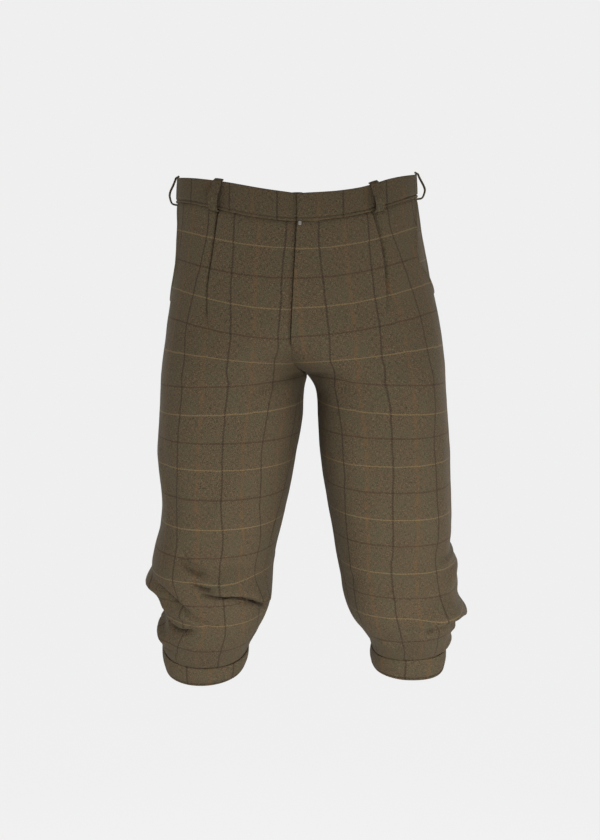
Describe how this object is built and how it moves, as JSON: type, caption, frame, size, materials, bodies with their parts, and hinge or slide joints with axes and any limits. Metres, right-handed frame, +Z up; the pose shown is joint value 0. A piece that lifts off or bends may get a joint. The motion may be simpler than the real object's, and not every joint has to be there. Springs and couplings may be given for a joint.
{
  "type": "knee breeches",
  "caption": "Tweed knee breeches, filled out with no wearer: pleated fronts, belt loops, slanted pockets, banded knees.",
  "frame": {"origin": "middle of the waist opening, about level with the waistband's top edge at the sides, where the wearer's waist holds it", "axes": "+Z up, +Y towards the back, +X towards the wearer's left"},
  "size_m": [0.4435, 0.2741, 0.7118],
  "materials": {
    "tweed": "soft wool tweed, brown-green, with a dark and ochre window check",
    "zip_metal": "satin"
  },
  "bodies": {
    "root": {"front_right": "tweed", "front_left": "tweed", "back_right": "tweed", "back_left": "tweed", "pocket_bearer_right": "tweed", "pocket_bearer_left": "tweed", "waistband_right": "tweed", "waistband_left": "tweed", "knee_band_right": "tweed", "knee_band_left": "tweed", "loop_front_right": "tweed", "loop_front_left": "tweed", "loop_side_right": "tweed", "loop_side_left": "tweed", "loop_back": "tweed", "zip_slider": "zip_metal"}
  },
  "joints": []
}
